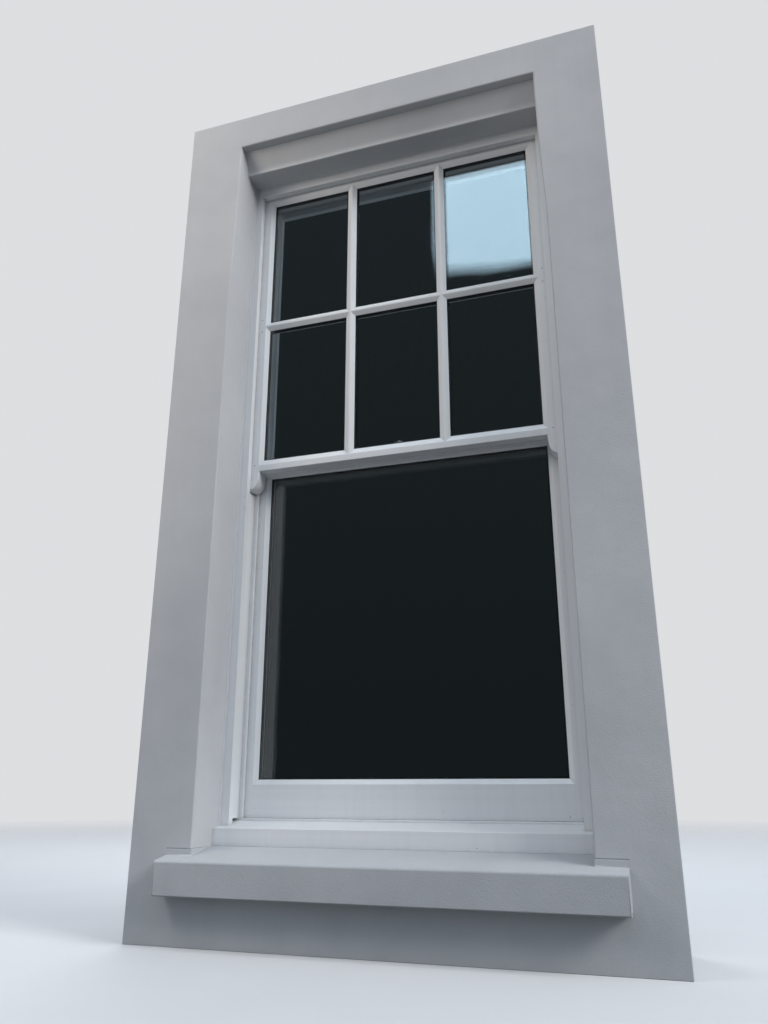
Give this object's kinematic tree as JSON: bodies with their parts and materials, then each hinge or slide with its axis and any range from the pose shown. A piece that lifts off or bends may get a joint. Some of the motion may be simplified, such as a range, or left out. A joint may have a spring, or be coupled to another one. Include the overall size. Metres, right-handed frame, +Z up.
{
  "type": "sash window",
  "caption": "Vertically sliding box sash window with glazing bars in its top sash, set closed in a piece of rendered wall with a lintel box and a sill.",
  "frame": {"origin": "middle of the wall piece's base, halfway between the sill's nose and the sash lifts", "axes": "+Z up, -Y outdoors, +X along the wall to the right as seen from outdoors"},
  "size_m": [1.132, 0.2924, 2.1192],
  "materials": {
    "painted_render": "smooth render, matt masonry paint in pale grey",
    "painted_stone": "stone sill under matt masonry paint",
    "painted_timber": "brushed eggshell paint in soft white",
    "bare_softwood": "sawn and unpainted",
    "glazing": "clear sealed unit",
    "cotton_cord": "waxed cotton sash cord",
    "polished_metal": "polished chrome"
  },
  "bodies": {
    "root": {"back_lining_left": "bare_softwood", "back_lining_right": "bare_softwood", "bottom_sash_bottom_rail": "painted_timber", "bottom_sash_meeting_rail": "painted_timber", "bottom_sash_pane": "glazing", "bottom_sash_stile_left": "painted_timber", "bottom_sash_stile_right": "painted_timber", "fastener_keep": "polished_metal", "frame_head": "painted_timber", "glazing_bar_cross": "painted_timber", "glazing_bar_left": "painted_timber", "glazing_bar_right": "painted_timber", "inner_lining_head": "painted_timber", "inner_lining_left": "painted_timber", "inner_lining_right": "painted_timber", "lintel_box": "painted_render", "outer_lining_head": "painted_timber", "outer_lining_left": "painted_timber", "outer_lining_right": "painted_timber", "parting_bead_head": "painted_timber", "parting_bead_left": "painted_timber", "parting_bead_right": "painted_timber", "pulley_stile_left": "painted_timber", "pulley_stile_right": "painted_timber", "rendered_wall": "painted_render", "sash_cord_left": "cotton_cord", "sash_cord_right": "cotton_cord", "sash_fastener": "polished_metal", "sash_lift_left": "polished_metal", "sash_lift_right": "polished_metal", "sash_pulley_left": "polished_metal", "sash_pulley_right": "polished_metal", "staff_bead_head": "painted_timber", "staff_bead_left": "painted_timber", "staff_bead_right": "painted_timber", "staff_bead_sill": "painted_timber", "stone_sill": "painted_stone", "timber_sill": "painted_timber", "top_sash_meeting_rail": "painted_timber", "top_sash_panes": "glazing", "top_sash_stile_left": "painted_timber", "top_sash_stile_right": "painted_timber", "top_sash_top_rail": "painted_timber"}
  },
  "joints": []
}
